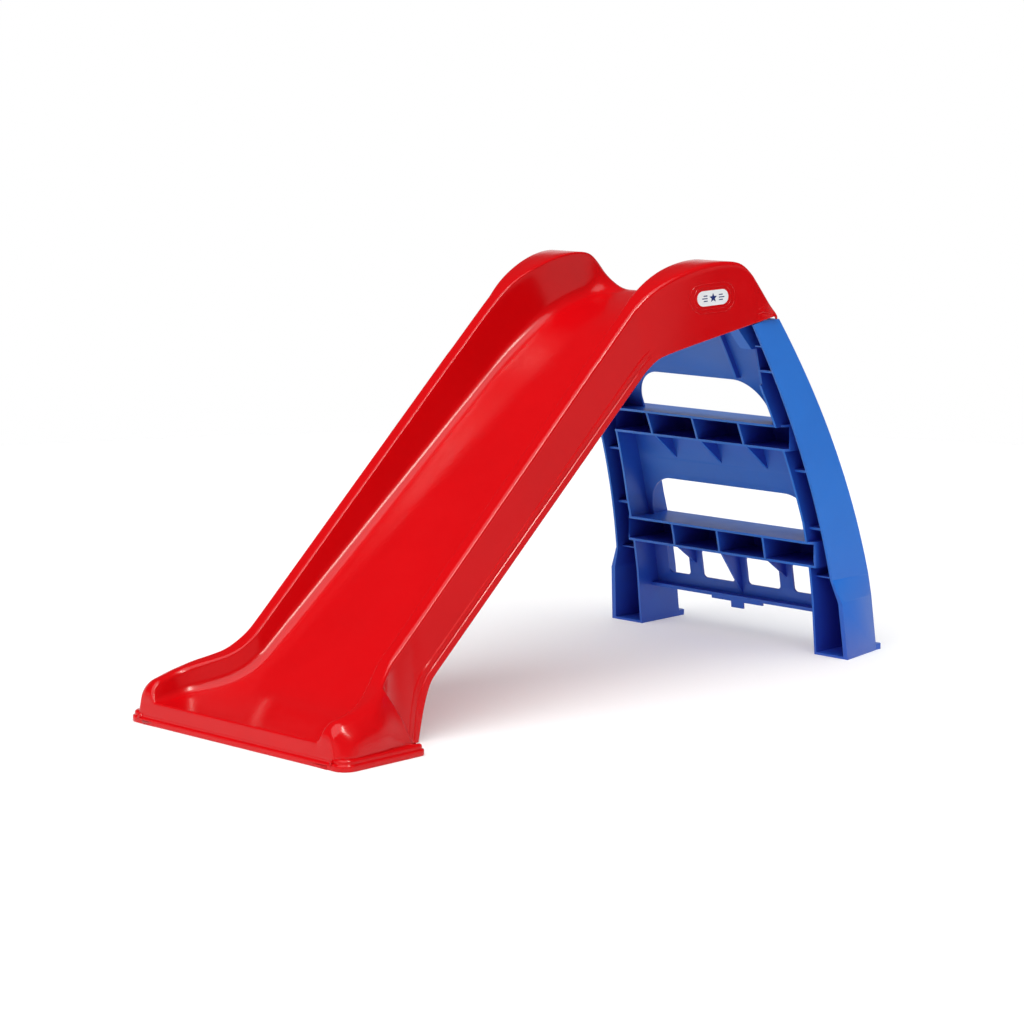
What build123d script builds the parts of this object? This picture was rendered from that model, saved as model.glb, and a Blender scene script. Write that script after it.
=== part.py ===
"""Toddler slide: a red chute moulding, a blue ladder moulding and two oval badges.

The slide stands on its chute foot and on the two feet of the ladder.  Two pivot pegs on the
ladder turn inside the cheeks of the chute, so that the ladder folds under the chute.

Frame: millimetres, X across the slide, the chute runs out towards -Y, +Z is up, and the
origin is on the floor in the middle of the slide's length and width.  Along the slide,
places are given as a "run": the distance back from the front edge of the chute foot.
"""

import os
from math import radians, sqrt, tan

from build123d import *

os.makedirs("parts", exist_ok=True)

# ---------------------------------------------------------------- driving dimensions
overall_length = 1023.0
front_y = -overall_length / 2
wall = 3.5

# chute, side view
chute_slope = tan(radians(42.6))
bed_slope = tan(radians(39.1))
bed_line_run = 180.0
bed_line_height = 100.0
runout_height = 28.0
runout_slope = 0.1
seat_slope = 0.19
seat_start_run = 634.0
seat_start_height = 481.0
rail_line_height = 126.3
rail_line_run = 166.7
peak_run = 735.0
peak_height = 559.0
peak_curvature = 0.002
back_edge_slope = -1.21
back_edge_run = 774.0
back_edge_height = 534.0
roll_over_run = 788.0
roll_over_height = 505.0
chute_end = 812.0
shoe_height = 50.0
shoe_slope = 0.25
nose_roll = 14.0

# chute, widths from the middle
rail_outer = 134.0
rail_band = 20.0
shoe_flare_outer = 42.0
shoe_flare_inner = 45.0
skirt_half = 146.0
cheek_inner = 104.0
cheek_outer = 174.0
foot_half = 190.0
flange_half = 202.4
flange_height = 14.0
flange_depth = 134.0
flange_corner = 19.0
flange_lip = 2.5
flange_inner_run = 10.0
hem_height = 16.0
hem_step = 2.0

# ladder, side view: quadratic curves through run and height
ladder_top = 476.0
front_curve = ((926.0, 0.0), (912.4, 238.0), (766.9, 476.0))
back_curve = ((1010.0, 0.0), (993.5, 238.0), (824.0, 476.0))
# each step: height of its top, rounding of its front corners, lowest point of its ribs
treads = ((162.0, 16.0, 95.0), (328.0, 36.0, 254.0))
tread_thickness = 37.0
# each step opening: bottom, top, half width and rounding of its upper corners
openings = ((162.0, 221.0, 152.0, 47.0), (328.0, 384.0, 119.0, 50.0))
top_panel_top = 462.0
rail_bottom = 59.0

# ladder, widths from the middle
leg_inner_low = 161.0
leg_inner_top = 136.0
leg_taper_start = 190.0
leg_outer_low = 200.5
leg_outer_top = 172.5
flare_start = 111.0
flare_end = 79.0
flare_half = 214.7
flare_foot_half = 219.8
rib_spacing = 84.0
leg_rib_heights = (181.0, 263.0, 404.0)
# side view of the cut that sets the upper end of a leg's inner wall back
inner_relief = ((740.0, 385.0), (821.0, 385.0), (809.0, 459.0), (806.0, 480.0), (740.0, 480.0))
step_overhang = 14.0
windows = ((12.0, 72.0), (96.0, 137.0))
window_low = 76.0
window_high = 117.0
window_round = 6.0
lip_reach = 14.0
lip_thickness = 5.0
catch_drop = 9.0
catch_half = 47.0
knob_half = 11.0

# hinge between the cheeks and the ladder
pivot_run = 752.0
pivot_height = 508.0
tongue_inner = 134.0
tongue_outer = 153.0
tongue_radius = 23.0
peg_radius = 9.0
peg_clearance = 0.08
boss_radius = 14.0
boss_face = 156.0
bore_depth = 10.0
peg_reach = 9.5

# badge on each cheek; the face under it flares outwards and leans in slightly
badge_run = 700.0
badge_height = 511.0
badge_place = 160.8
badge_flare = 0.178
badge_lean = 0.024
badge_tilt = 0.05
badge_length = 52.0
badge_width = 20.0
badge_thickness = 1.6
badge_sunk = 0.9
badge_gap = 0.4


# ---------------------------------------------------------------- chute profile formulas
def valley(a, b, softness):
    """The larger of two heights, blended smoothly where they cross."""
    return (a + b + sqrt((a - b) ** 2 + softness**2)) / 2


def crest(a, b, softness):
    """The smaller of two heights, blended smoothly where they cross."""
    return (a + b - sqrt((a - b) ** 2 + softness**2)) / 2


def ramp(value, low, high):
    """0 below low, 1 above high and straight between them."""
    return min(max((value - low) / (high - low), 0.0), 1.0)


def ease(value, low, high):
    """0 below low, 1 above high and smooth between them."""
    t = ramp(value, low, high)
    return t * t * (3 - 2 * t)


def nose_drop(run):
    """How far the rails roll down towards the front edge of the foot."""
    inside = 1 - ramp(run, 3.0, 3.0 + nose_roll)
    return nose_roll * (1 - sqrt(1 - inside**2))


def rail_line(run):
    """Straight part of the rails' top."""
    return rail_line_height + chute_slope * (run - rail_line_run)


def bed_height(run):
    """Sliding surface: nearly level run-out, chute, gently rising seat, rolled back edge."""
    slide = bed_line_height + bed_slope * (run - bed_line_run)
    seat = seat_start_height + seat_slope * (run - seat_start_run)
    roll_over = roll_over_height - 0.95 * (run - roll_over_run)
    upper = crest(crest(slide, seat, 26.0), roll_over, 8.0)
    return valley(upper, runout_height + runout_slope * run, 16.0)


def rail_height(run):
    """Top of the side rails, from the shoe humps of the foot to the hand-hold cheeks."""
    shoe = shoe_height + shoe_slope * run
    line = rail_line(run)
    cheek = peak_height - peak_curvature * (run - peak_run) ** 2
    back = back_edge_height + back_edge_slope * (run - back_edge_run)
    upper = crest(crest(line, cheek, 6.0), back, 8.0) if run > 500.0 else line
    return valley(upper, shoe, 10.0) - nose_drop(run)


def hem_line(run):
    """Lower edge of the outer skirt: on the floor at the foot, then up along the chute."""
    rise = 83.0 * ramp(run, 172.0, 206.0)
    slide = rise + 0.892 * max(run - 206.0, 0.0)
    cheek = 440.0 + 0.21 * (run - 614.0)
    return crest(slide, cheek, 8.0) if run > 400.0 else slide


def band_outer(run):
    """Outer edge of the rail's top band."""
    shoe = shoe_flare_outer * (1 - ease(run, 60.0, 150.0))
    cheek = (cheek_outer - rail_outer) * ramp(run, 580.0, 768.0)
    return rail_outer + shoe + cheek


def band_inner(run):
    """Inner edge of the rail's top band."""
    cheek = (rail_outer - rail_band - cheek_inner) * ramp(run, 560.0, 672.0)
    shoe = shoe_flare_inner * (1 - ease(run, 40.0, 145.0))
    return rail_outer - rail_band + shoe - cheek


def skirt_outer(run):
    """Outside of the skirt at its lower edge, with the rounded corner of the foot."""
    corner = 20.0
    inside = 1 - ramp(run, 3.0, 3.0 + corner)
    shoe = (foot_half - skirt_half - 3.0) * (1 - ramp(run, 118.0, flange_depth))
    cheek = 0.142 * max(run - 586.0, 0.0)
    return skirt_half + 3.0 * (1 - ramp(run, 134.0, 206.0)) + shoe + cheek - corner * (
        1 - sqrt(1 - inside**2)
    )


def steepness(height, run):
    """Length of the surface for each millimetre of run, from its slope."""
    step = 0.5
    slope = (height(run + step) - height(run - step)) / (2 * step)
    return sqrt(1 + slope**2)


def outer_section(run):
    """Right half of the chute's outside at one run, from the floor edge to the bed."""
    top = rail_height(run)
    bed = bed_height(run)
    foot = band_inner(run) - 8.0
    points = [
        (skirt_outer(run), hem_line(run)),
        (band_outer(run), top),
        (band_inner(run), top),
        (foot, bed),
    ]
    rise = top - bed
    radii = [0, min(8.0, 0.4 * rise), min(6.0, 0.3 * rise), min(18.0, 0.4 * rise)]
    return points, radii


def cavity_section(run):
    """Right half of the hollow under the chute at one run; it is open downwards."""
    top = rail_height(run) - wall * steepness(rail_height, run)
    bed = bed_height(run) - wall * steepness(bed_height, run)
    foot = band_inner(run) - 8.0 + wall
    points = [
        (skirt_outer(run) - wall, hem_line(run) - 30.0),
        (band_outer(run) - wall, top),
        (band_inner(run) + wall, top),
        (foot, bed),
    ]
    rise = top - bed
    radii = [0, min(4.0, 0.3 * rise), min(3.0, 0.2 * rise), min(20.0, 0.4 * rise)]
    return points, radii


def hem_section(run):
    """The thicker band along the lower edge of the skirt at one run."""
    low = hem_line(run)
    inner = skirt_outer(run) - wall
    outer = skirt_outer(run) + hem_step
    return [(inner, low), (outer, low), (outer, low + hem_height), (inner, low + hem_height)]


def across(run):
    """Upright plane across the slide at one run; its own y is the height."""
    return Plane.XZ.offset(-(front_y + run))


def side(points):
    """Points of a side view, (run, height), in the axes of Plane.YZ."""
    return [(front_y + run, height) for run, height in points]


def mirrored_outline(points, radii):
    """A closed outline from its right half, with the corner radii in the same order."""
    left = [(-x, z) for x, z in reversed(points)]
    return points + left, radii + list(reversed(radii))


# ---------------------------------------------------------------- chute
foot_stations = [4, 7, 11, 17, 24, 34, 60, 90, 118, 126, 134, 150, 172]
slope_stations = [184, 195, 206, 225, 250, 320, 420, 520, 570]
cheek_stations = [590, 605, 620, 640, 665, 695, 725, 750, 766, 778, 790, 802, chute_end]
outer_stations = foot_stations + slope_stations + cheek_stations
cavity_stations = [8] + foot_stations[2:] + slope_stations + cheek_stations[:-2] + [802, 807]

with BuildPart() as chute_outside:
    for run in outer_stations:
        outline, corner_radii = mirrored_outline(*outer_section(run))
        with BuildSketch(across(run)):
            with BuildLine():
                FilletPolyline(*outline, radius=corner_radii, close=True)
            make_face()
    loft(ruled=True)

with BuildPart() as chute_hollow:
    for run in cavity_stations:
        outline, corner_radii = mirrored_outline(*cavity_section(run))
        with BuildSketch(across(run)):
            with BuildLine():
                FilletPolyline(*outline, radius=corner_radii, close=True)
            make_face()
    loft(ruled=True)

with BuildPart() as hem_strip:
    for run in [178, 195, 206, 320, 420, 520, 570, 586]:
        with BuildSketch(across(run)):
            with BuildLine():
                Polyline(*hem_section(run), close=True)
            make_face()
    loft(ruled=True)
    mirror(about=Plane.YZ)

with BuildPart() as foot_flange:
    with BuildSketch():
        with Locations((0, front_y + flange_depth / 2)):
            Rectangle(2 * flange_half, flange_depth)
        fillet(vertices().group_by(Axis.Y)[0], radius=flange_corner)
        fillet(vertices().group_by(Axis.Y)[-1], radius=12.0)
    extrude(amount=flange_height)
    fillet(faces().sort_by(Axis.Z)[-1].edges(), radius=4.0)
    with BuildSketch():
        with Locations((0, front_y + flange_inner_run)):
            Rectangle(
                2 * (foot_half - wall - flange_lip),
                flange_depth,
                align=(Align.CENTER, Align.MIN),
            )
        fillet(vertices().group_by(Axis.Y)[0], radius=16.0)
    extrude(amount=flange_height, mode=Mode.SUBTRACT)


def pivot_plane(hand, reach):
    """Upright plane across the pivot axis on one side, facing outwards."""
    return Plane(
        origin=(hand * reach, front_y + pivot_run, pivot_height),
        x_dir=(0, 1, 0),
        z_dir=(hand, 0, 0),
    )


def badge_plane(hand, sunk):
    """Plane along the outer face of a cheek where its badge sits, facing outwards."""
    place = badge_place - sunk
    return Plane(
        origin=(hand * place, front_y + badge_run, badge_height),
        x_dir=(hand * badge_flare, 1, badge_tilt),
        z_dir=(hand, -badge_flare, badge_lean),
    )


# round bosses inside the cheeks, bored for the pegs of the ladder
with BuildPart() as bosses:
    for hand in (1, -1):
        with BuildSketch(pivot_plane(hand, boss_face)):
            Circle(boss_radius)
        extrude(amount=cheek_outer - boss_face)
    add(chute_outside.part, mode=Mode.INTERSECT)

with BuildPart() as chute:
    add(chute_outside.part)
    add(chute_hollow.part, mode=Mode.SUBTRACT)
    add(hem_strip.part)
    add(foot_flange.part)
    add(bosses.part)
    for hand in (1, -1):
        with BuildSketch(pivot_plane(hand, boss_face)):
            Circle(peg_radius + peg_clearance)
        extrude(amount=bore_depth, mode=Mode.SUBTRACT)
        # shallow oval recess for the badge
        with BuildSketch(badge_plane(hand, badge_sunk)):
            SlotOverall(badge_length + 2 * badge_gap, badge_width + 2 * badge_gap)
        extrude(amount=badge_sunk + 2.0, mode=Mode.SUBTRACT)

chute.part.label = "chute"
export_step(chute.part, "parts/chute.step")


# ---------------------------------------------------------------- ladder helpers
def curve_run(curve, height):
    """Run of a side-view curve at one height; its middle point is at half the height."""
    t = height / ladder_top
    return (1 - t) ** 2 * curve[0][0] + 2 * t * (1 - t) * curve[1][0] + t**2 * curve[2][0]


def shifted(curve, distance):
    """A side-view curve moved back by a distance."""
    return [(run + distance, height) for run, height in curve]


def slab_between(front, back):
    """Full-width solid between two side-view curves, from the floor to the ladder's top."""
    with BuildPart() as slab:
        with BuildSketch(Plane.YZ):
            with BuildLine():
                Bezier(*side(front))
                Line(side(front)[-1], side(back)[-1])
                Bezier(*side(back))
                Line(side(back)[0], side(front)[0])
            make_face()
        extrude(amount=flare_foot_half + 5.0, both=True)
    return slab.part


def leg_inner(height):
    """Inside face of a leg, measured from the middle of the ladder."""
    rise = ramp(height, leg_taper_start, ladder_top)
    return leg_inner_low + (leg_inner_top - leg_inner_low) * rise


def leg_outer(height):
    """Outside face of a leg above its flared foot."""
    rise = ramp(height, flare_start, ladder_top)
    return leg_outer_low + (leg_outer_top - leg_outer_low) * rise


def leg_front_view(low, high, inset):
    """Outline of the right leg in the front view between two heights, moved in by an inset."""
    heights = [low, high]
    if low < leg_taper_start < high:
        heights = [low, leg_taper_start, high]
    inner = [(leg_inner(height) + inset, height) for height in heights]
    outer = [(leg_outer(height) - inset, height) for height in (high, low)]
    return inner + outer


def foot_outline(height, half_width, inset, front_reach):
    """Plan outline of the right foot: its front is flared, its back is not."""
    front = curve_run(front_curve, height) - front_reach
    back = curve_run(back_curve, height) - inset
    inner = leg_inner_low + inset
    back_half = leg_outer_low + 4.5 * (1 - height / flare_start) - inset
    return [
        (inner, front_y + front),
        (half_width - inset, front_y + front),
        (back_half, front_y + back),
        (inner, front_y + back),
    ]


web_curve = [
    ((front[0] + back[0]) / 2, front[1]) for front, back in zip(front_curve, back_curve)
]
ladder_body = slab_between(front_curve, back_curve)
ladder_hollow = slab_between(shifted(front_curve, -60.0), shifted(back_curve, -wall))
web_slab = slab_between(web_curve, shifted(web_curve, wall))
front_skin = slab_between(shifted(front_curve, -60.0), shifted(front_curve, 10.0))
web_front = slab_between(shifted(web_curve, -9.0), shifted(web_curve, 1.0))
flare_levels = [(0.0, flare_foot_half), (flare_end, flare_half), (flare_start, leg_outer_low)]

# ---------------------------------------------------------------- one leg of the ladder
rib_edges = [flare_start] + sorted(leg_rib_heights) + [440.0]

with BuildPart() as leg_channel:
    for low, high in zip(rib_edges[:-1], rib_edges[1:]):
        with BuildSketch(Plane.XZ):
            with BuildLine():
                Polyline(*leg_front_view(low + wall / 2, high - wall / 2, wall), close=True)
            make_face()
        extrude(amount=overall_length, both=True)
    with BuildSketch(Plane.XZ):
        with BuildLine():
            Polyline(*leg_front_view(440.0 + wall / 2, ladder_top + 5.0, wall), close=True)
        make_face()
    extrude(amount=overall_length, both=True)
    add(ladder_hollow, mode=Mode.INTERSECT)

with BuildPart() as channel_mouth:
    with BuildSketch(Plane.XZ):
        with BuildLine():
            Polyline(*leg_front_view(flare_start, 440.0, wall), close=True)
        make_face()
    extrude(amount=overall_length, both=True)
    add(front_skin, mode=Mode.INTERSECT)

with BuildPart() as right_leg:
    with BuildSketch(Plane.XZ):
        with BuildLine():
            Polyline(*leg_front_view(flare_start, ladder_top, 0.0), close=True)
        make_face()
    extrude(amount=overall_length, both=True)
    add(ladder_body, mode=Mode.INTERSECT)
    add(leg_channel.part, mode=Mode.SUBTRACT)
    add(channel_mouth.part, mode=Mode.SUBTRACT)
    # the inner wall stands back from the outer wall above the upper step
    with BuildSketch(Plane.YZ.offset(leg_inner_top - 5.0)):
        with BuildLine():
            Polyline(*side(inner_relief), close=True)
        make_face()
    extrude(amount=leg_inner_low + wall - leg_inner_top + 2.0, mode=Mode.SUBTRACT)
    # the top is cut off along the lower edge of the cheek
    with BuildSketch(Plane.YZ):
        with BuildLine():
            Polyline(
                *side([(700, 456.5), (840, 485.9), (840, 520), (700, 520)]),
                close=True,
            )
        make_face()
    extrude(amount=leg_outer_low, mode=Mode.SUBTRACT)

with BuildPart() as foot_shell:
    for height, half_width in flare_levels:
        with BuildSketch(Plane.XY.offset(height)):
            with BuildLine():
                Polyline(*foot_outline(height, half_width, 0.0, 0.0), close=True)
            make_face()
    loft(ruled=True)

with BuildPart() as foot_hollow:
    for height, half_width in flare_levels:
        with BuildSketch(Plane.XY.offset(max(height, wall))):
            with BuildLine():
                Polyline(*foot_outline(height, half_width, wall, 30.0), close=True)
            make_face()
    loft(ruled=True)

with BuildPart() as pivot_tongue:
    with BuildSketch(Plane.YZ.offset(tongue_inner)):
        with BuildLine():
            CenterArc(side([(pivot_run, pivot_height)])[0], tongue_radius, 0, 360)
            Polyline(*side([(790, 436), (834, 436), (800, 480)]), close=True)
        make_hull()
    extrude(amount=tongue_outer - tongue_inner)
    with BuildSketch(pivot_plane(1, tongue_outer)):
        Circle(peg_radius)
    extrude(amount=boss_face + peg_reach - tongue_outer)

with BuildPart() as leg:
    add(right_leg.part)
    add(foot_shell.part)
    add(foot_hollow.part, mode=Mode.SUBTRACT)
    add(pivot_tongue.part)
    # small lip along the bottom of the heel
    with BuildSketch():
        with Locations((leg_inner_low, front_y + overall_length)):
            Rectangle(leg_outer_low + 4.0 - leg_inner_low, 16.0, align=(Align.MIN, Align.MAX))
        fillet(vertices().group_by(Axis.Y)[-1], radius=4.0)
    extrude(amount=8.0)
    mirror(about=Plane.YZ)

# ---------------------------------------------------------------- steps and panels
rib_places = (-rib_spacing, 0.0, rib_spacing)
top_rib_places = (-rib_spacing, rib_spacing)

with BuildPart() as panel_front_view:
    with BuildSketch(Plane.XZ):
        with BuildLine():
            Polyline(
                (-leg_inner(rail_bottom) - 1.0, rail_bottom),
                (leg_inner(rail_bottom) + 1.0, rail_bottom),
                (leg_inner_low + 1.0, leg_taper_start),
                (leg_inner(top_panel_top) + 1.0, top_panel_top),
                (-leg_inner(top_panel_top) - 1.0, top_panel_top),
                (-leg_inner_low - 1.0, leg_taper_start),
                close=True,
            )
        make_face()
        # the two step openings, with large rounds at their upper corners
        for low, high, half, corner in openings:
            with BuildSketch(mode=Mode.PRIVATE) as opening:
                with Locations((0, (low + high) / 2)):
                    Rectangle(2 * half, high - low)
                fillet(vertices().group_by(Axis.Y)[-1], radius=corner)
            add(opening.sketch, mode=Mode.SUBTRACT)
        # the hollow under each step runs through the panel to the back of the step
        for height, _, _ in treads:
            with Locations((0, height - tread_thickness / 2)):
                Rectangle(2 * leg_outer_low, tread_thickness - 2 * wall, mode=Mode.SUBTRACT)
        # four windows in the bottom panel, between the stiffening ribs
        for near, far in windows:
            for hand in (1, -1):
                with Locations((hand * (near + far) / 2, (window_low + window_high) / 2)):
                    RectangleRounded(
                        far - near,
                        window_high - window_low,
                        window_round,
                        mode=Mode.SUBTRACT,
                    )
    extrude(amount=overall_length, both=True)

with BuildPart() as panels:
    add(web_slab)
    add(panel_front_view.part, mode=Mode.INTERSECT)


def layer(body, low, high, half_width, place=0.0, front_round=0.0):
    """The part of a body between two heights, as wide as asked and round at its front corners."""
    front = front_y + curve_run(front_curve, high)
    depth = overall_length
    with BuildPart() as piece:
        with BuildSketch(Plane.XY.offset(low)):
            with Locations((place, front)):
                Rectangle(2 * half_width, depth, align=(Align.CENTER, Align.MIN))
            if front_round > 0.0:
                fillet(vertices().group_by(Axis.Y)[0], radius=front_round)
        extrude(amount=high - low)
        add(body, mode=Mode.INTERSECT)
    return piece.part


def gusset(height, apex, place):
    """Triangular rib under a step, from its front lip back to the panel behind it."""
    low = height - tread_thickness + wall / 2
    lip = curve_run(front_curve, low) + 3.0
    back_low = curve_run(web_curve, apex) + 1.0
    back_high = curve_run(web_curve, low) + 1.0
    with BuildPart() as rib:
        with BuildSketch(Plane.YZ.offset(place)):
            with BuildLine():
                Polyline(*side([(lip, low), (back_high, low), (back_low, apex)]), close=True)
            make_face()
        extrude(amount=wall / 2, both=True)
    return rib.part


steps = []
step_hollows = []
step_ribs = []
for height, front_round, apex in treads:
    low = height - tread_thickness
    half = leg_inner(height) + step_overhang
    steps.append(layer(ladder_body, low, height, half, front_round=front_round))
    step_hollows.append(layer(ladder_hollow, low + wall, height - wall, half - wall))
    for place in rib_places:
        step_ribs.append(layer(ladder_body, low, height, wall / 2, place=place))
        step_ribs.append(gusset(height, apex, place))
# the middle rib of the bottom panel runs down to its lower edge
step_ribs.append(gusset(treads[0][0], rail_bottom, 0.0))

top_ribs = [
    layer(web_front, openings[1][1] + 4.0, top_panel_top - 6.0, 2.5, place=place)
    for place in top_rib_places
]
# lip that runs forward along the lower edge of the bottom panel
bottom_lip = layer(
    slab_between(shifted(web_curve, -lip_reach), shifted(web_curve, 1.0)),
    rail_bottom - lip_thickness,
    rail_bottom,
    leg_inner_low + 1.0,
)
catch_slab = slab_between(shifted(web_curve, -lip_reach), shifted(web_curve, wall - lip_reach))
storage_catch = layer(catch_slab, rail_bottom - catch_drop, rail_bottom, catch_half)
catch_knob = layer(catch_slab, rail_bottom - 2 * catch_drop, rail_bottom, knob_half)

with BuildPart() as ladder:
    add(leg.part)
    add(panels.part)
    for step, hollow in zip(steps, step_hollows):
        add(step)
        add(hollow, mode=Mode.SUBTRACT)
    for rib in step_ribs:
        add(rib)
    # stiffening ribs on the front of the top panel
    for rib in top_ribs:
        add(rib)
    # lip and storage catch along the lower edge of the bottom panel
    add(bottom_lip)
    add(storage_catch)
    add(catch_knob)

ladder.part.label = "ladder"
export_step(ladder.part, "parts/ladder.step")

# ---------------------------------------------------------------- badges
for name, hand in (("badge_right", 1), ("badge_left", -1)):
    with BuildPart() as badge:
        with BuildSketch(badge_plane(hand, badge_sunk)):
            SlotOverall(badge_length, badge_width)
        extrude(amount=badge_thickness)
    badge.part.label = name
    export_step(badge.part, f"parts/{name}.step")
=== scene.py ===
"""Looks of the toddler slide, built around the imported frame.

The chute is rebuilt as a smooth moulded shell: one outline across the slide is worked out at many
places along it and the outlines are joined into a mesh.  Along the slide, places are a "run": the
distance back from the front edge of the chute foot.  Shapes are worked out in millimetres and
turned into metres when a mesh is made.
"""

from math import cos, pi, radians, sin, sqrt, tan

import bmesh
import bpy
import numpy as np
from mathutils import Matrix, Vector


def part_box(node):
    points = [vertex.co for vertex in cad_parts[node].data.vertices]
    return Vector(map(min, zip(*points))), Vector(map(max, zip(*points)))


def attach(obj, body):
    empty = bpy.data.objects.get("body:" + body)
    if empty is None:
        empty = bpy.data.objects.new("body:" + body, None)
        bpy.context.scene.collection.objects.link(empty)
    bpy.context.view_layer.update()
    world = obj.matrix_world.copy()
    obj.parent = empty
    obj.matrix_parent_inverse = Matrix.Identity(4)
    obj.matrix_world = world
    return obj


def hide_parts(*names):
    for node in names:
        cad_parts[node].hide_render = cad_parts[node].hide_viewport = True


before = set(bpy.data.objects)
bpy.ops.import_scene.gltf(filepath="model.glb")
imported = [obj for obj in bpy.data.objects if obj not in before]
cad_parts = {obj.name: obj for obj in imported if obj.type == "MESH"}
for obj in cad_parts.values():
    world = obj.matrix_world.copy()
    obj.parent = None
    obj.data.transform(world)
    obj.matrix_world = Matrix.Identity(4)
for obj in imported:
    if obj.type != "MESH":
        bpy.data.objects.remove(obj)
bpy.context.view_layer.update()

MM = 0.001
FRONT_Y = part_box("chute")[0].y / MM

# ---------------------------------------------------------------- camera
CAMERA_PLACE = (2.6850, -2.7827, 0.8366)
CAMERA_TURN = radians(44.23)
CAMERA_DIP = radians(8.92)
LENS = 104.17


def make_camera():
    """The camera at the photograph's viewing angle."""
    data = bpy.data.cameras.new("camera")
    data.lens = LENS
    data.sensor_width = 36.0
    camera = bpy.data.objects.new("camera", data)
    camera.location = CAMERA_PLACE
    camera.rotation_euler = (pi / 2 - CAMERA_DIP, 0.0, CAMERA_TURN)
    bpy.context.scene.collection.objects.link(camera)
    bpy.context.scene.camera = camera


make_camera()

# ---------------------------------------------------------------- chute sizes, in millimetres
WALL = 3.5
CHUTE_START = 4.0
CHUTE_END = 812.0
RAIL_SLOPE = tan(radians(42.6))
RAIL_LINE = (166.7, 126.3)
BED_SLOPE = tan(radians(39.1))
BED_LINE = (180.0, 100.0)
SEAT_SLOPE = 0.19
SEAT_LINE = (634.0, 481.0)
ROLL_OVER_SLOPE = -0.95
ROLL_OVER_LINE = (788.0, 505.0)
RUNOUT_FRONT = 29.0
RUNOUT_RISE = 0.0009
RUNOUT_END = 110.0
SHOE_TOP = 50.0
SHOE_SLOPE = 0.25
NOSE_ROLL = 18.0
PEAK = (735.0, 559.0)
PEAK_CURVATURE = 0.002
BACK_EDGE_SLOPE = -1.21
BACK_EDGE_LINE = (774.0, 534.0)
HEM_SLOPE = 0.892
HEM_LINE = (206.0, 83.0)
HEM_START = 172.0
HEM_CURL = 52.7
HEM_CURL_END = 200.0
HEM_BELOW_SLOPE = 4.14
CHEEK_HEM_SLOPE = 0.21
CHEEK_HEM_LINE = (614.0, 440.0)
RAIL_OUTER = 134.0
RAIL_BAND = 20.0
SKIRT_HALF = 146.0
CHEEK_INNER = 104.0
CHEEK_OUTER = 174.0
FOOT_HALF = 190.0
FLANGE_HALF = 202.4
FLANGE_TOP = 14.0
FLANGE_DEPTH = 134.0
HEM_HEIGHT = 16.0
SHOE_FLARE_OUTER = 42.0
SHOE_FLARE_INNER = 45.0
FRONT_CORNER = 26.0
SHOE_SWELL = 7.0


# ---------------------------------------------------------------- blending helpers
def valley(a, b, softness):
    """The larger of two values, blended smoothly where they cross."""
    return (a + b + sqrt((a - b) ** 2 + softness**2)) / 2


def crest(a, b, softness):
    """The smaller of two values, blended smoothly where they cross."""
    return (a + b - sqrt((a - b) ** 2 + softness**2)) / 2


def ramp(value, low, high):
    """0 below low, 1 above high and straight between them."""
    return min(max((value - low) / (high - low), 0.0), 1.0)


def ease(value, low, high):
    """0 below low, 1 above high and smooth between them."""
    t = ramp(value, low, high)
    return t * t * (3 - 2 * t)


def mix(a, b, t):
    """The value a part t of the way from a to b."""
    return a + (b - a) * t


def straight(run, place, slope):
    """Height at a run of the straight line through a place (run, height)."""
    return place[1] + slope * (run - place[0])


# ---------------------------------------------------------------- chute profile
def nose_drop(run):
    """How far the rails roll down towards the front edge of the foot."""
    inside = 1 - ramp(run, 3.0, 22.0)
    return NOSE_ROLL * (1 - sqrt(1 - inside**2))


def bed_height(run):
    """Sliding surface: nearly level run-out, chute, gently rising seat, rolled back edge."""
    slide = straight(run, BED_LINE, BED_SLOPE)
    seat = straight(run, SEAT_LINE, SEAT_SLOPE)
    roll_over = straight(run, ROLL_OVER_LINE, ROLL_OVER_SLOPE)
    runout = RUNOUT_FRONT + RUNOUT_RISE * min(run, RUNOUT_END) ** 2
    upper = crest(crest(slide, seat, 26.0), roll_over, 8.0)
    return valley(upper, runout, 16.0)


def rail_height(run):
    """Top of the side rails, from the shoe humps of the foot to the hand-hold cheeks."""
    shoe = SHOE_TOP + SHOE_SLOPE * run
    cheek = PEAK[1] - PEAK_CURVATURE * (run - PEAK[0]) ** 2
    back = straight(run, BACK_EDGE_LINE, BACK_EDGE_SLOPE)
    line = straight(run, RAIL_LINE, RAIL_SLOPE)
    upper = crest(crest(line, cheek, 6.0), back, 14.0) if run > 500.0 else line
    return valley(upper, shoe, 10.0) - nose_drop(run)


def hem_height(run):
    """Lower edge of the outer skirt; it is carried on under the floor at the foot."""
    slide = straight(run, HEM_LINE, HEM_SLOPE)
    curl = HEM_CURL * (1 - ramp(run, HEM_START, HEM_CURL_END)) ** 2.2
    below = HEM_BELOW_SLOPE * max(HEM_START - run, 0.0)
    cheek = straight(run, CHEEK_HEM_LINE, CHEEK_HEM_SLOPE)
    return crest(slide, cheek, 8.0) if run > 400.0 else slide - curl - below


def beside_hem(distance):
    """Runs and heights of a line that follows the hem at a distance."""
    runs = np.linspace(130.0, CHUTE_END + 20.0, 700)
    heights = np.array([hem_height(run) for run in runs])
    slopes = np.gradient(heights, runs)
    length = np.sqrt(1 + slopes**2)
    return runs - distance * slopes / length, heights + distance / length


def band_outer(run):
    """Outer edge of the rail's top band."""
    shoe = SHOE_FLARE_OUTER * (1 - ease(run, 60.0, 150.0))
    cheek = (CHEEK_OUTER - RAIL_OUTER) * ramp(run, 580.0, 768.0)
    return RAIL_OUTER + shoe + cheek


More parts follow.
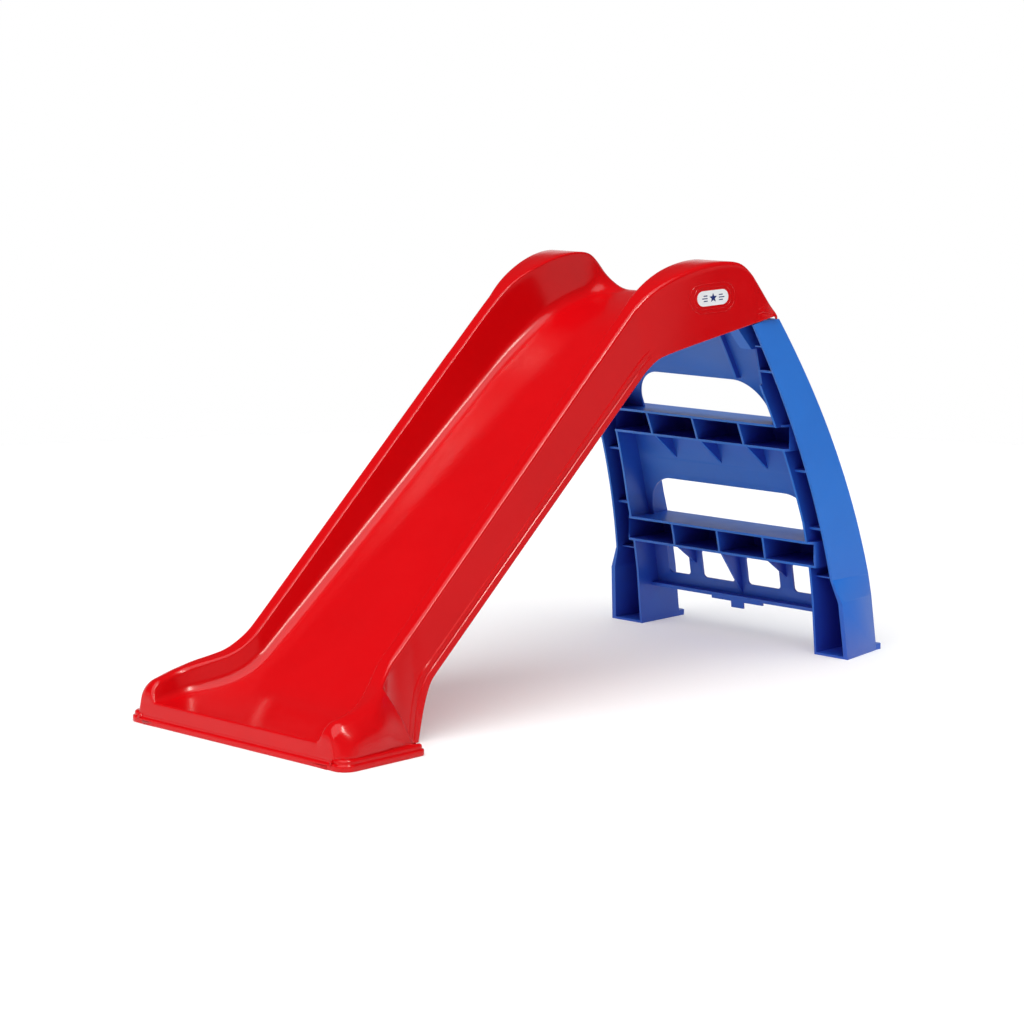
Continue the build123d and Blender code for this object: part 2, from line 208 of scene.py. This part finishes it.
def band_inner(run):
    """Inner edge of the rail's top band."""
    cheek = (RAIL_OUTER - RAIL_BAND - CHEEK_INNER) * ease(run, 550.0, 672.0)
    shoe = SHOE_FLARE_INNER * (1 - ease(run, 40.0, 145.0))
    return RAIL_OUTER - RAIL_BAND + shoe - cheek


def skirt_low(run):
    """Outside of the plain skirt at its lower edge, behind the shoes of the foot."""
    cheek = 0.142 * max(run - 586.0, 0.0)
    return SKIRT_HALF + 3.0 * (1 - ramp(run, 134.0, 206.0)) + cheek


def shoe_low(run):
    """Outside of the shoe where it meets the flange, with the rounded front corner."""
    inside = 1 - ramp(run, 3.0, 3.0 + FRONT_CORNER)
    return FOOT_HALF - FRONT_CORNER * (1 - sqrt(1 - inside**2))


def shoe_crease(height):
    """Run at which the shoe ends at one height; the skirt goes on behind it."""
    return 106.0 + 19.0 * ramp(79.0 - height, 0.0, 69.0)


# ---------------------------------------------------------------- outlines
def rounded(points, radii, arc_steps):
    """An open outline with round corners: every corner gives the same number of points."""
    made = [np.array(points[0], float)]
    for index in range(1, len(points) - 1):
        before, corner, after = (np.array(p, float) for p in points[index - 1 : index + 2])
        one = before - corner
        two = after - corner
        length_one = np.linalg.norm(one)
        length_two = np.linalg.norm(two)
        one /= length_one
        two /= length_two
        half = np.arccos(np.clip(one @ two, -1.0, 1.0)) / 2
        reach = min(radii[index] / np.tan(half), 0.49 * length_one, 0.49 * length_two)
        radius = reach * np.tan(half)
        middle = one + two
        middle /= np.linalg.norm(middle)
        centre = corner + middle * radius / np.sin(half)
        start = corner + one * reach - centre
        end = corner + two * reach - centre
        sweep = max(np.arccos(np.clip(start @ end / radius**2, -1.0, 1.0)), 0.001)
        for step in range(arc_steps + 1):
            t = step / arc_steps
            made.append(centre + (start * sin((1 - t) * sweep) + end * sin(t * sweep)) / sin(sweep))
    made.append(np.array(points[-1], float))
    return made


def subdivided(points, counts, arc_steps):
    """Splits the straight stretches between the arcs into even steps."""
    made = []
    index = 0
    for count in counts:
        start = points[index]
        end = points[index + 1]
        for step in range(count):
            made.append(start + (end - start) * step / count)
        made.extend(points[index + 1 : index + 1 + arc_steps])
        index += arc_steps + 1
    made.append(points[-1])
    return made


# steps out of the skirt down to its lower edge: (height above the edge, distance out, radius)
HEM_PROFILE = (
    (HEM_HEIGHT + 1.6, 0.0, 1.2),
    (HEM_HEIGHT, 0.9, 0.8),
    (11.4, 0.9, 0.5),
    (10.6, 0.4, 0.5),
    (9.0, 0.4, 0.5),
    (8.2, 1.1, 0.5),
    (1.0, 1.4, 0.8),
    (0.0, 0.6, 0.8),
)
ARC_STEPS = 5
STRETCHES = (10, 8, 3, 14) + (1,) * (len(HEM_PROFILE) - 1)


HEM_LINES = [beside_hem(height) for height, _, _ in HEM_PROFILE]


def chute_outline(run):
    """Right half of the chute's skin at one run, from the middle of the bed to the hem."""
    bed = bed_height(run)
    top = rail_height(run)
    shoe_part = 1 - ease(run, 20.0, 130.0)
    back_part = ease(run, 730.0, 800.0)
    hem_part = ease(run, 150.0, 164.0) * (1 - ease(run, 560.0, 610.0))
    hem_part += ease(run, 776.0, 790.0)
    inner = band_inner(run)
    outer = band_outer(run)
    foot = inner - mix(8.0, 34.0, back_part)
    rise = top - bed
    side_low = skirt_low(run)
    points = [(0.0, bed), (foot, bed), (inner, top), (outer, top)]
    radii = [
        0.0,
        min(mix(18.0, 60.0, back_part), 0.45 * rise + 60.0 * back_part),
        min(mix(3.2, 8.0, shoe_part), 0.3 * rise),
        mix(5.5, 8.5, shoe_part),
    ]
    low = max(hem_height(run), 0.0)
    span = top - low
    squeeze = min(1.0, 0.45 * span / HEM_PROFILE[0][0])
    floor_step = 0.2 * len(HEM_PROFILE)
    for (height, out, radius), (line_runs, line_heights) in zip(HEM_PROFILE, HEM_LINES):
        floor_step -= 0.2
        level = np.interp(run, line_runs, line_heights)
        level = max(low + (level - low) * squeeze, low + floor_step)
        lean = (top - level) / span
        x = mix(outer, side_low, lean) + out * hem_part * squeeze
        points.append((x, level))
        radii.append(radius * squeeze)
    outline = subdivided(rounded(points, radii, ARC_STEPS), STRETCHES, ARC_STEPS)
    side_start = sum(STRETCHES[:3]) + 2 * ARC_STEPS
    return [
        (x + (shoe_bulge(run, z, top) if index >= side_start else 0.0), run, z)
        for index, (x, z) in enumerate(outline)
    ]


def shoe_bulge(run, z, top):
    """How far the shoe of the foot stands out of the plain skirt, in front of its crease."""
    lean = ramp(top - z, 0.0, top - FLANGE_TOP)
    part = 1 - ease(run, shoe_crease(z) - 1.0, shoe_crease(z) + 5.0)
    swell = SHOE_SWELL * sin(pi * lean) * ease(run, CHUTE_START, 40.0)
    return (lean * (shoe_low(run) - skirt_low(run)) + swell) * part


def chute_runs():
    """Runs of the outlines, close together where the shape changes quickly."""
    stretches = (
        (CHUTE_START, 12.0, 9),
        (12.0, 36.0, 12),
        (36.0, 100.0, 16),
        (100.0, 134.0, 26),
        (134.0, 210.0, 26),
        (210.0, 550.0, 26),
        (550.0, 660.0, 30),
        (660.0, 764.0, 24),
        (764.0, CHUTE_END, 30),
    )
    runs = []
    for start, end, count in stretches:
        runs += list(np.linspace(start, end, count, endpoint=False))
    return runs + [CHUTE_END]


def mesh_object(name, points, faces, smooth=True):
    """A mesh object from points in millimetres (x, run, z) and faces."""
    data = bpy.data.meshes.new(name)
    scaled = [(x * MM, (FRONT_Y + run) * MM, z * MM) for x, run, z in points]
    data.from_pydata(scaled, [], faces)
    data.validate()
    data.update()
    made = bpy.data.objects.new(name, data)
    bpy.context.scene.collection.objects.link(made)
    if smooth:
        data.shade_smooth()
    return made


def grid_faces(rows, columns, offset=0):
    """Quads between neighbouring rows of points."""
    return [
        (
            offset + row * columns + column,
            offset + (row + 1) * columns + column,
            offset + (row + 1) * columns + column + 1,
            offset + row * columns + column + 1,
        )
        for row in range(rows - 1)
        for column in range(columns - 1)
    ]


def mirrored_row(half):
    """A whole outline from its right half."""
    return [(-x, run, z) for x, run, z in reversed(half[1:])] + half


def chute_shell():
    """The chute's moulded skin with its thickness."""
    rows = []
    first = chute_outline(CHUTE_START)
    # the front face goes down behind the flange; its top edge is a narrow round
    for run, keep in ((2.6, 0.0), (2.8, 0.25), (3.0, 0.5), (3.2, 0.75), (3.4, 0.9)):
        rows.append([(x, run, mix(6.0, z, keep)) for x, _, z in first])
    for run in chute_runs():
        rows.append(chute_outline(run))
    # the back edge turns down
    last = rows[-1]
    for run, down in ((812.8, 0.6), (813.2, 2.0), (813.2, 5.0)):
        rows.append([(x, run, z - down) for x, _, z in last])
    rows = [mirrored_row(row) for row in rows]
    points = [point for row in rows for point in row]
    shell = mesh_object("chute_shell", points, grid_faces(len(rows), len(rows[0])))
    clean = bmesh.new()
    clean.from_mesh(shell.data)
    bmesh.ops.remove_doubles(clean, verts=clean.verts, dist=0.00002)
    bmesh.ops.recalc_face_normals(clean, faces=clean.faces)
    clean.to_mesh(shell.data)
    clean.free()
    thick = shell.modifiers.new("thickness", "SOLIDIFY")
    thick.thickness = WALL * MM
    thick.offset = -1.0
    return shell


# ---------------------------------------------------------------- flange of the foot
# (distance in from the edge, height) round the section of the flange
FLANGE_PROFILE = (
    (1.2, 0.0),
    (0.3, 0.5),
    (0.0, 1.4),
    (0.0, 6.6),
    (0.5, 7.6),
    (1.6, 8.0),
    (2.4, 8.4),
    (2.6, 9.2),
    (2.6, 11.4),
    (3.2, 13.0),
    (4.6, 13.9),
    (6.6, 14.2),
    (19.0, 14.4),
    (20.5, 13.0),
    (20.5, 1.0),
    (19.5, 0.0),
)


def flange_path():
    """Outer edge of the flange from its left back corner round the front to the right back."""
    corner = 19.0
    back_corner = 9.0
    path = []
    back = FLANGE_DEPTH
    for step in range(7):
        turn = pi / 2 - step * (pi / 2) / 6
        place = (FLANGE_HALF - back_corner + back_corner * cos(turn), back - back_corner)
        out = (cos(turn), sin(turn))
        path.append(((place[0], place[1] + back_corner * sin(turn)), out))
    for run in np.linspace(back - back_corner, corner, 8)[1:]:
        path.append(((FLANGE_HALF, run), (1.0, 0.0)))
    for step in range(1, 17):
        turn = -step * (pi / 2) / 16
        path.append(
            (
                (FLANGE_HALF - corner + corner * cos(turn), corner + corner * sin(turn)),
                (cos(turn), sin(turn)),
            )
        )
    for x in np.linspace(FLANGE_HALF - corner, 0.0, 12)[1:]:
        path.append(((x, 0.0), (0.0, -1.0)))
    left = [((-x, run), (-nx, ny)) for (x, run), (nx, ny) in reversed(path[:-1])]
    return path + left


def foot_flange():
    """The stepped flange round the front and the sides of the foot."""
    points = []
    path = flange_path()
    for (x, run), (out_x, out_run) in path:
        for inset, height in FLANGE_PROFILE:
            points.append((x - out_x * inset, run - out_run * inset, height))
    columns = len(FLANGE_PROFILE)
    faces = []
    for row in range(len(path) - 1):
        for column in range(columns):
            beside = (column + 1) % columns
            faces.append(
                (
                    row * columns + column,
                    row * columns + beside,
                    (row + 1) * columns + beside,
                    (row + 1) * columns + column,
                )
            )
    faces.append(tuple(reversed(range(columns))))
    faces.append(tuple(len(points) - columns + column for column in range(columns)))
    return mesh_object("foot_flange", points, faces)


# ---------------------------------------------------------------- materials
def new_material(name, base_color, roughness):
    """A Principled material and its nodes, ready for detail."""
    material = bpy.data.materials.new(name)
    material.use_nodes = True
    shader = material.node_tree.nodes["Principled BSDF"]
    shader.inputs["Base Color"].default_value = (*base_color, 1.0)
    shader.inputs["Roughness"].default_value = roughness
    shader.inputs["Specular IOR Level"].default_value = 0.26
    return material, material.node_tree, shader


def moulded_plastic(name, base_color, dark_color, roughness, grain, painted_shade_color=None):
    """Moulded polyethylene: faint flow mottling, uneven gloss and a fine surface grain; given a shade
    colour, painted shade darkens recesses, corners and gaps between parts.
    """
    material, tree, shader = new_material(name, base_color, roughness)
    nodes = tree.nodes
    links = tree.links
    place = nodes.new("ShaderNodeTexCoord")

    mottle = nodes.new("ShaderNodeTexNoise")
    mottle.inputs["Scale"].default_value = 9.0
    mottle.inputs["Detail"].default_value = 4.0
    colours = nodes.new("ShaderNodeValToRGB")
    colours.color_ramp.elements[0].position = 0.35
    colours.color_ramp.elements[0].color = (*dark_color, 1.0)
    colours.color_ramp.elements[1].position = 0.65
    colours.color_ramp.elements[1].color = (*base_color, 1.0)
    links.new(place.outputs["Object"], mottle.inputs["Vector"])
    links.new(mottle.outputs["Fac"], colours.inputs["Fac"])
    found = colours.outputs["Color"]
    # painted shade: ambient occlusion blends the colour towards the shade colour in recesses, corners
    # and between parts
    if painted_shade_color is not None:
        open_part = nodes.new("ShaderNodeAmbientOcclusion")
        open_part.samples = 8
        open_part.inputs["Distance"].default_value = 0.20
        painted_shade_mix = nodes.new("ShaderNodeMix")
        painted_shade_mix.data_type = "RGBA"
        painted_shade_mix.inputs["A"].default_value = (*painted_shade_color, 1.0)
        links.new(open_part.outputs["AO"], painted_shade_mix.inputs["Factor"])
        links.new(found, painted_shade_mix.inputs["B"])
        found = painted_shade_mix.outputs["Result"]
    links.new(found, shader.inputs["Base Color"])

    haze = nodes.new("ShaderNodeTexNoise")
    haze.inputs["Scale"].default_value = 38.0
    haze.inputs["Detail"].default_value = 6.0
    gloss = nodes.new("ShaderNodeMapRange")
    gloss.inputs["To Min"].default_value = roughness - 0.05
    gloss.inputs["To Max"].default_value = roughness + 0.07
    links.new(place.outputs["Object"], haze.inputs["Vector"])
    links.new(haze.outputs["Fac"], gloss.inputs["Value"])
    links.new(gloss.outputs["Result"], shader.inputs["Roughness"])

    fine = nodes.new("ShaderNodeTexNoise")
    fine.inputs["Scale"].default_value = 900.0
    fine.inputs["Detail"].default_value = 2.0
    wave = nodes.new("ShaderNodeTexNoise")
    wave.inputs["Scale"].default_value = 14.0
    fine_bump = nodes.new("ShaderNodeBump")
    fine_bump.inputs["Strength"].default_value = grain
    fine_bump.inputs["Distance"].default_value = 0.0002
    wave_bump = nodes.new("ShaderNodeBump")
    wave_bump.inputs["Strength"].default_value = 0.25
    wave_bump.inputs["Distance"].default_value = 0.0008
    links.new(place.outputs["Object"], fine.inputs["Vector"])
    links.new(place.outputs["Object"], wave.inputs["Vector"])
    links.new(wave.outputs["Fac"], wave_bump.inputs["Height"])
    links.new(fine.outputs["Fac"], fine_bump.inputs["Height"])
    links.new(wave_bump.outputs["Normal"], fine_bump.inputs["Normal"])
    links.new(fine_bump.outputs["Normal"], shader.inputs["Normal"])
    return material


def gloss_level(material, level):
    """Sets how much a material reflects."""
    shader = material.node_tree.nodes["Principled BSDF"]
    shader.inputs["Specular IOR Level"].default_value = level


red_plastic = moulded_plastic("red_plastic", (0.63, 0.0016, 0.0040), (0.60, 0.0013, 0.0035), 0.17, 0.05)
# the last colour is painted shade, laid into the ladder's recesses and corners by ambient occlusion
blue_plastic = moulded_plastic(
    "blue_plastic", (0.010, 0.170, 0.66), (0.009, 0.155, 0.62), 0.36, 0.20, (0.018, 0.020, 0.36)
)
gloss_level(blue_plastic, 0.42)
motif_blue = moulded_plastic("motif_blue", (0.010, 0.022, 0.15), (0.009, 0.020, 0.13), 0.35, 0.05)
badge_white = moulded_plastic("badge_white", (0.85, 0.86, 0.88), (0.80, 0.81, 0.83), 0.3, 0.05)


def dress(piece, material):
    """Gives a piece its material."""
    piece.data.materials.clear()
    piece.data.materials.append(material)


# ---------------------------------------------------------------- chute
shell = chute_shell()
flange = foot_flange()
for piece in (shell, flange):
    dress(piece, red_plastic)
    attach(piece, "slide")
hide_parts("chute")

# ---------------------------------------------------------------- ladder
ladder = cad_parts["ladder"]
ladder.data.materials.clear()
ladder.data.materials.append(blue_plastic)


def round_edges(piece, width):
    """Rounds the sharp edges of a CAD node."""
    weld = piece.modifiers.new("weld", "WELD")
    weld.merge_threshold = 0.00001
    flat = piece.modifiers.new("flat", "DECIMATE")
    flat.decimate_type = "DISSOLVE"
    flat.angle_limit = radians(1.0)
    bevel = piece.modifiers.new("bevel", "BEVEL")
    bevel.width = width
    bevel.segments = 2
    bevel.limit_method = "ANGLE"
    bevel.angle_limit = radians(25.0)
    bevel.harden_normals = True


round_edges(ladder, 0.0011)

for name in ("badge_right", "badge_left"):
    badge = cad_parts[name]
    badge.data.materials.clear()
    badge.data.materials.append(badge_white)


# ---------------------------------------------------------------- badge surrounds
BADGE_RUN = 700.0
BADGE_HEIGHT = 511.0
BADGE_TILT = 0.05
BADGE_FACE = 161.5
BADGE_FLARE = 0.178
BADGE_LEAN = 0.024
PRINT_GAP = 0.08
RINGS = ((61.5, 28.0), (74.5, 38.5))


def cheek_side(run, height):
    """Outside of a cheek at one run and height."""
    top = rail_height(run)
    lean = (top - height) / (top - hem_height(run))
    return mix(band_outer(run), skirt_low(run), lean)


def racetrack(length, width):
    """Points round an oval with straight sides, about the middle of the badge."""
    radius = width / 2
    half = length / 2 - radius
    points = []
    for side, start in ((1, -pi / 2), (-1, pi / 2)):
        for step in range(25):
            turn = start + pi * step / 24
            points.append((side * half + radius * cos(turn), radius * sin(turn)))
    return points


def on_cheek(hand, along, up, out):
    """A point beside the badge, standing out of the cheek by a distance."""
    run = BADGE_RUN + along - BADGE_TILT * up
    height = BADGE_HEIGHT + up + BADGE_TILT * along
    return (hand * (cheek_side(run, height) + out), run, height)


def badge_ring(name, hand, length, width):
    """A fine raised bead round the badge."""
    path = racetrack(length, width)
    sides = 8
    points = []
    for index, (along, up) in enumerate(path):
        before = path[index - 1]
        after = path[(index + 1) % len(path)]
        along_way = (after[0] - before[0], after[1] - before[1])
        size = sqrt(along_way[0] ** 2 + along_way[1] ** 2)
        out_way = (along_way[1] / size, -along_way[0] / size)
        for side in range(sides):
            turn = 2 * pi * side / sides
            reach = 0.55 * cos(turn)
            lift = 0.45 * sin(turn)
            place = (along + out_way[0] * reach, up + out_way[1] * reach)
            points.append(on_cheek(hand, place[0], place[1], lift))
    faces = []
    for index in range(len(path)):
        beside = (index + 1) % len(path)
        for side in range(sides):
            turn = (side + 1) % sides
            corners = (
                index * sides + side,
                beside * sides + side,
                beside * sides + turn,
                index * sides + turn,
            )
            faces.append(corners if hand > 0 else tuple(reversed(corners)))
    ring = mesh_object(name, points, faces)
    dress(ring, red_plastic)
    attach(ring, "slide")


def on_badge(hand, along, up):
    """A point just in front of the badge's flat face."""
    out = BADGE_FACE + PRINT_GAP + BADGE_FLARE * along - BADGE_LEAN * up
    run = BADGE_RUN + along - BADGE_TILT * up
    height = BADGE_HEIGHT + up + BADGE_TILT * along
    return (hand * out, run, height)


def badge_motif(name, hand):
    """A plain motif on the badge: a star between two bars, printed on the plate."""
    shapes = []
    star = []
    for step in range(10):
        reach = 6.6 if step % 2 == 0 else 2.9
        turn = pi / 2 + step * pi / 5
        star.append((reach * cos(turn), reach * sin(turn)))
    shapes.append(star)
    for side in (1, -1):
        for up in (-3.4, 0.0, 3.4):
            length = 9.0 if up == 0.0 else 6.5
            shapes.append(
                [
                    (side * 9.5, up - 0.7),
                    (side * (9.5 + length), up - 0.7),
                    (side * (9.5 + length), up + 0.7),
                    (side * 9.5, up + 0.7),
                ]
            )
    points = []
    faces = []
    for shape in shapes:
        start = len(points)
        points += [on_badge(hand, along, up) for along, up in shape]
        faces.append(tuple(range(start, len(points))))
    motif = mesh_object(name, points, faces, smooth=False)
    dress(motif, motif_blue)
    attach(motif, "slide")


for hand, word in ((1, "right"), (-1, "left")):
    for number, (length, width) in enumerate(RINGS):
        badge_ring(f"badge_ring_{word}_{number}", hand, length, width)
    badge_motif(f"badge_motif_{word}", hand)


# ---------------------------------------------------------------- floor and light
FLOOR_RADIUS = 2.6
FILL_LIGHT = 0.34
REFLECTED_LIGHT = 0.06
HORIZON_LIGHT = 0.8
SUN_STRENGTH = 2.9
SUN_WIDTH = radians(70.0)
EDGE_POWER = 75.0
WARM = (1.0, 0.93, 0.84)


def make_stage():
    """A round pale floor; past its edge the background is as white as the lit floor."""
    material, tree, shader = new_material("floor_white", (0.76, 0.76, 0.76), 0.7)
    shader.inputs["Emission Color"].default_value = (1.0, 1.0, 1.0, 1.0)
    shader.inputs["Emission Strength"].default_value = 0.28
    noise = tree.nodes.new("ShaderNodeTexNoise")
    noise.inputs["Scale"].default_value = 300.0
    bump = tree.nodes.new("ShaderNodeBump")
    bump.inputs["Strength"].default_value = 0.02
    tree.links.new(noise.outputs["Fac"], bump.inputs["Height"])
    tree.links.new(bump.outputs["Normal"], shader.inputs["Normal"])
    shape = bmesh.new()
    bmesh.ops.create_circle(shape, cap_ends=True, segments=128, radius=FLOOR_RADIUS)
    data = bpy.data.meshes.new("floor")
    shape.to_mesh(data)
    shape.free()
    floor = bpy.data.objects.new("floor", data)
    data.materials.append(material)
    bpy.context.scene.collection.objects.link(floor)


def aimed_light(name, kind, place, target, power, tint=(1.0, 1.0, 1.0)):
    """A light aimed from one point at another."""
    data = bpy.data.lights.new(name, kind)
    data.energy = power
    data.color = tint
    lamp = bpy.data.objects.new(name, data)
    lamp.location = place
    direction = Vector(target) - Vector(place)
    lamp.rotation_euler = direction.to_track_quat("-Z", "Y").to_euler()
    bpy.context.scene.collection.objects.link(lamp)
    return lamp


def soft_box(name, place, target, size, power, tint=(1.0, 1.0, 1.0)):
    """A rectangular soft box."""
    lamp = aimed_light(name, "AREA", place, target, power, tint)
    lamp.data.shape = "RECTANGLE"
    lamp.data.size = size[0]
    lamp.data.size_y = size[1]
    return lamp


def make_room():
    """The room's light: white background, soft fill on surfaces, dim in reflections.

    Reflections see a bright band low over the horizon, like the far walls of a studio.
    """
    world = bpy.data.worlds.new("studio")
    bpy.context.scene.world = world
    world.use_nodes = True
    nodes = world.node_tree.nodes
    links = world.node_tree.links
    path = nodes.new("ShaderNodeLightPath")
    shades = []
    for strength in (FILL_LIGHT, 1.0, 1.0):
        shade = nodes.new("ShaderNodeBackground")
        shade.inputs["Color"].default_value = (1.0, 1.0, 1.0, 1.0)
        shade.inputs["Strength"].default_value = strength
        shades.append(shade)

    place = nodes.new("ShaderNodeTexCoord")
    parts = nodes.new("ShaderNodeSeparateXYZ")
    band = nodes.new("ShaderNodeValToRGB")
    stops = band.color_ramp.elements
    for stop, spot in zip(stops, (0.50, 0.66)):
        stop.position = spot
        stop.color = (REFLECTED_LIGHT, REFLECTED_LIGHT, REFLECTED_LIGHT, 1.0)
    for spot in (0.51, 0.59):
        stop = stops.new(spot)
        stop.color = (HORIZON_LIGHT, HORIZON_LIGHT, HORIZON_LIGHT, 1.0)
    height = nodes.new("ShaderNodeMapRange")
    height.inputs["From Min"].default_value = -1.0
    links.new(place.outputs["Generated"], parts.inputs["Vector"])
    links.new(parts.outputs["Z"], height.inputs["Value"])
    links.new(height.outputs["Result"], band.inputs["Fac"])
    links.new(band.outputs["Color"], shades[1].inputs["Color"])

    found = shades[0].outputs["Background"]
    for shade, ray in zip(shades[1:], ("Is Glossy Ray", "Is Camera Ray")):
        choice = nodes.new("ShaderNodeMixShader")
        links.new(path.outputs[ray], choice.inputs["Fac"])
        links.new(found, choice.inputs[1])
        links.new(shade.outputs["Background"], choice.inputs[2])
        found = choice.outputs["Shader"]
    links.new(found, nodes["World Output"].inputs["Surface"])


def make_light():
    """Plain soft studio light."""
    make_room()
    sun = aimed_light("sun", "SUN", (0.55, -1.25, 2.6), (0.0, 0.0, 0.0), SUN_STRENGTH)
    sun.data.angle = SUN_WIDTH
    edge = soft_box("edge", (1.9, -0.6, 2.7), (0.0, 0.0, 0.3), (0.2, 2.0), EDGE_POWER, WARM)
    edge.visible_diffuse = False


make_stage()
make_light()
bpy.context.scene.view_settings.view_transform = "Standard"
